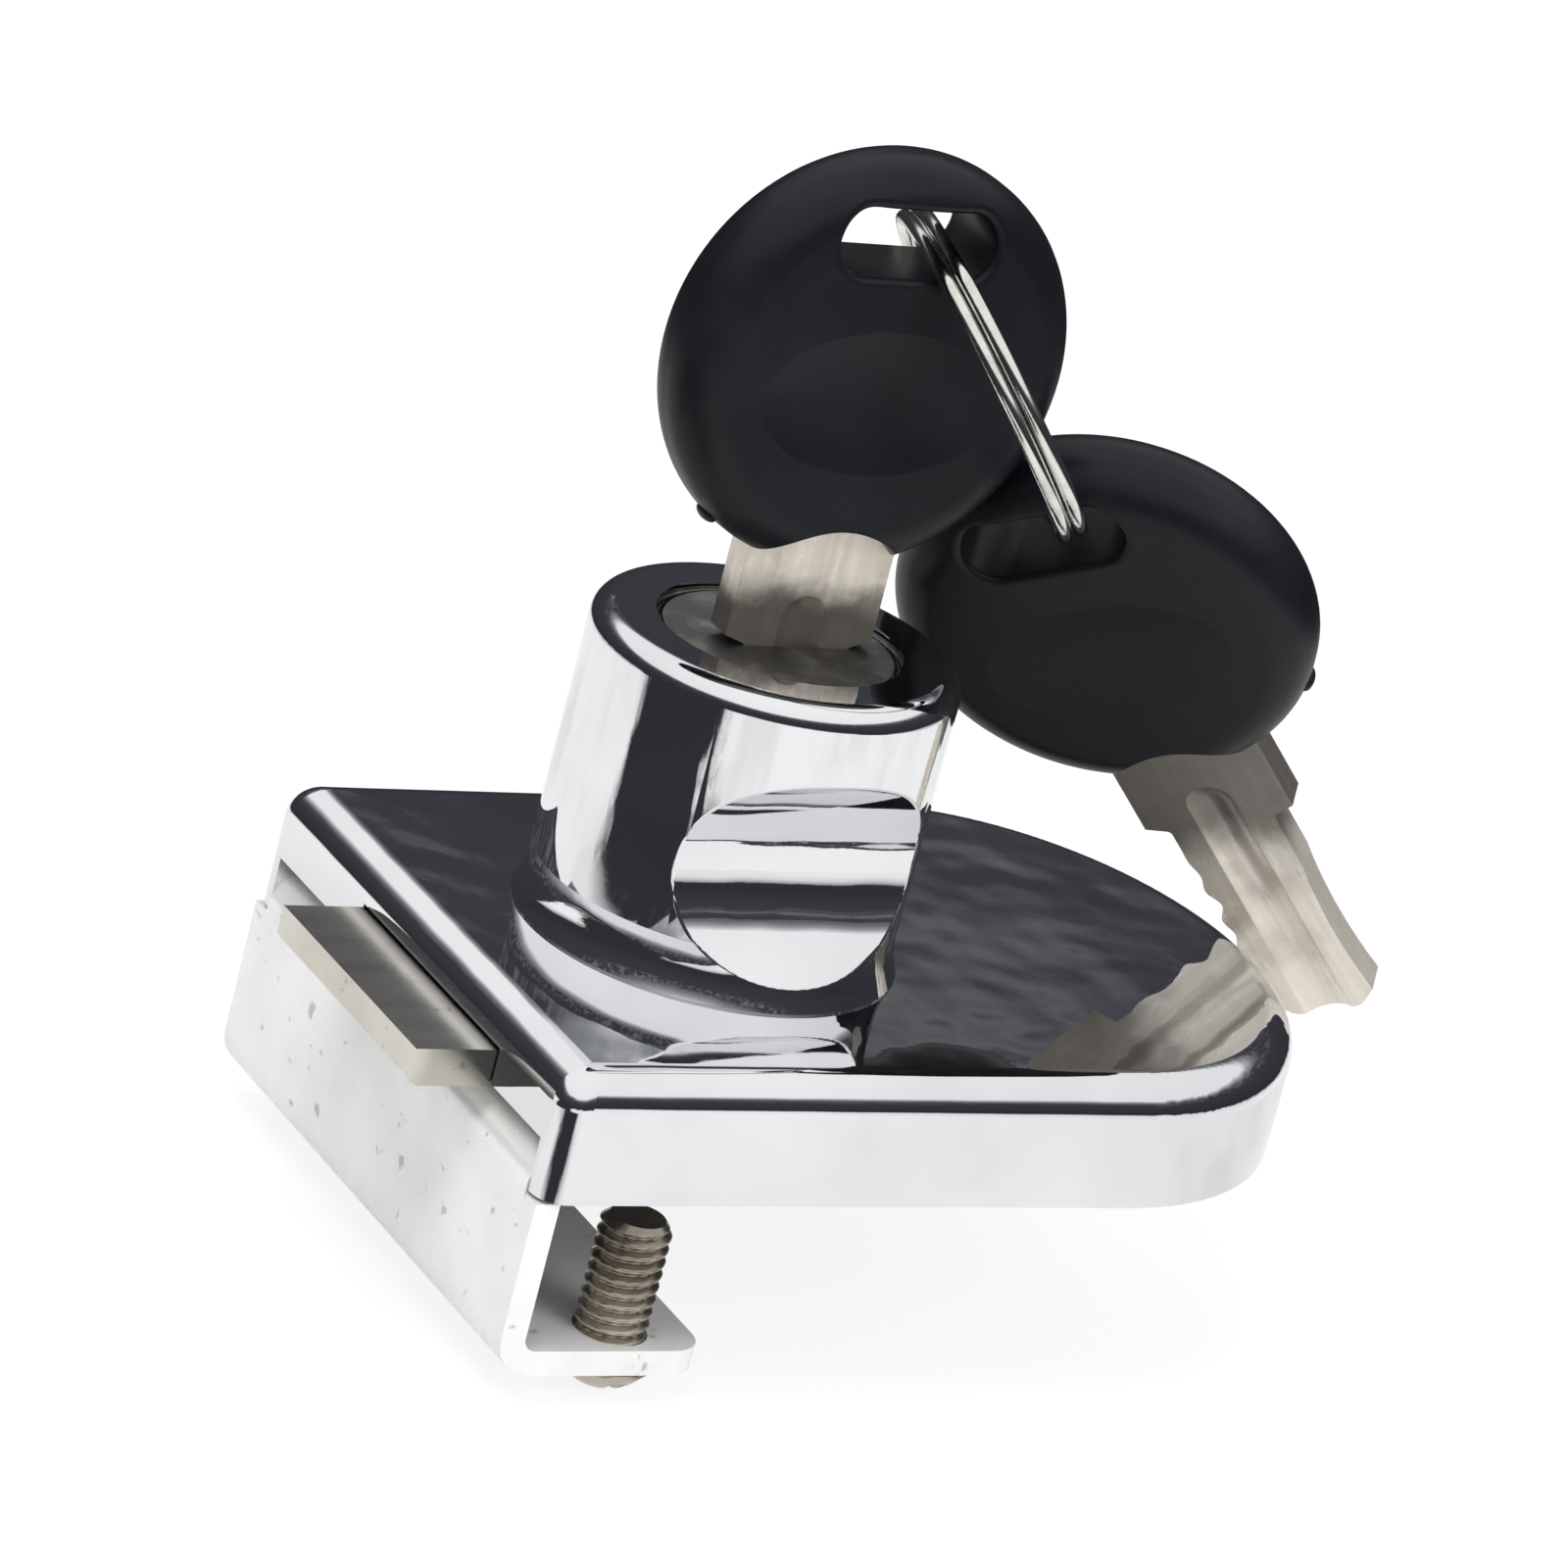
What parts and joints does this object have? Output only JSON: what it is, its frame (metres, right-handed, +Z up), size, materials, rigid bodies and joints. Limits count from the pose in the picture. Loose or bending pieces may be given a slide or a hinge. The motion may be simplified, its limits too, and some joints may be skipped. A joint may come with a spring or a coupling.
{
  "type": "glass cabinet door lock",
  "caption": "Bright clamp-on lock for a glass cabinet door: round key tower on a half-oval plate, sliding flat bolt, glass clamp bracket, and keys on a split ring.",
  "frame": {"origin": "on the key cylinder's axis at the underside of the lock, where the glass lies", "axes": "+Z up the key cylinder, +X along the plate to its rounded end, the bolt leaves towards -X"},
  "size_m": [0.0669, 0.038, 0.0664],
  "materials": {
    "casting_chrome": "polished chrome plate over zinc casting",
    "bracket_steel": "satin zinc plated strip with sheared edges",
    "screw_steel": "plain zinc plated",
    "pad_rubber": "dull",
    "screw_nickel": "warm nickel plate",
    "plug_metal": "dull turned face with bright edge",
    "spring_steel": "plain",
    "cam_zinc": "as cast",
    "bolt_steel": "satin nickel plate",
    "key_nickel": "brushed nickel silver with light stains",
    "head_plastic": "black satin moulding",
    "ring_steel": "bright drawn wire",
    "wafer_brass": "stamped"
  },
  "bodies": {
    "housing": {"lock_body": "casting_chrome", "clamp_bracket": "bracket_steel", "bracket_screws": "screw_steel", "glass_pad": "pad_rubber"},
    "cylinder": {"plug": "plug_metal", "wafer_1": "wafer_brass", "wafer_2": "wafer_brass", "wafer_3": "wafer_brass", "wafer_4": "wafer_brass", "wafer_5": "wafer_brass", "wafer_springs": "spring_steel", "cam_disc": "cam_zinc", "drive_pin": "spring_steel", "cam_screw": "screw_steel"},
    "bolt": {"bolt": "bolt_steel"},
    "key": {"key_blade": "key_nickel", "key_head": "head_plastic"},
    "ring": {"split_ring": "ring_steel"},
    "spare_key": {"spare_key_blade": "key_nickel", "spare_key_head": "head_plastic"},
    "near_clamp_screw": {"clamp_screw_near": "screw_nickel"},
    "far_clamp_screw": {"clamp_screw_far": "screw_nickel"}
  },
  "joints": [
    {"name": "key_turn", "type": "hinge", "parent": "housing", "child": "cylinder", "pos_m": [0, 0, 0.0251], "axis": [0, 0, 1], "range_deg": [-90, 90]},
    {"name": "bolt_slide", "type": "slide", "parent": "housing", "child": "bolt", "axis": [1, 0, 0], "range_m": [-0.00505, 0.00505]},
    {"name": "key_slide", "type": "slide", "parent": "cylinder", "child": "key", "axis": [0, 0, 1], "range_m": [0, 0.02]},
    {"name": "ring_swing", "type": "hinge", "parent": "key", "child": "ring", "pos_m": [0.003, 0, 0.04933], "axis": [-0.1748, -0.978, -0.1142], "range_deg": [0, 60]},
    {"name": "spare_key_swing", "type": "hinge", "parent": "ring", "child": "spare_key", "pos_m": [0.015, 0.00007, 0.03394], "axis": [-0.1493, -0.9778, -0.147], "range_deg": [0, 30]},
    {"name": "near_screw_feed", "type": "slide", "parent": "housing", "child": "near_clamp_screw", "axis": [0, 0, -1], "range_m": [0, 0.006]},
    {"name": "far_screw_feed", "type": "slide", "parent": "housing", "child": "far_clamp_screw", "axis": [0, 0, -1], "range_m": [0, 0.006]}
  ],
  "couplings": [
    {"joint": "bolt_slide", "follows": "key_turn", "m_per_rad": 0.003183}
  ]
}
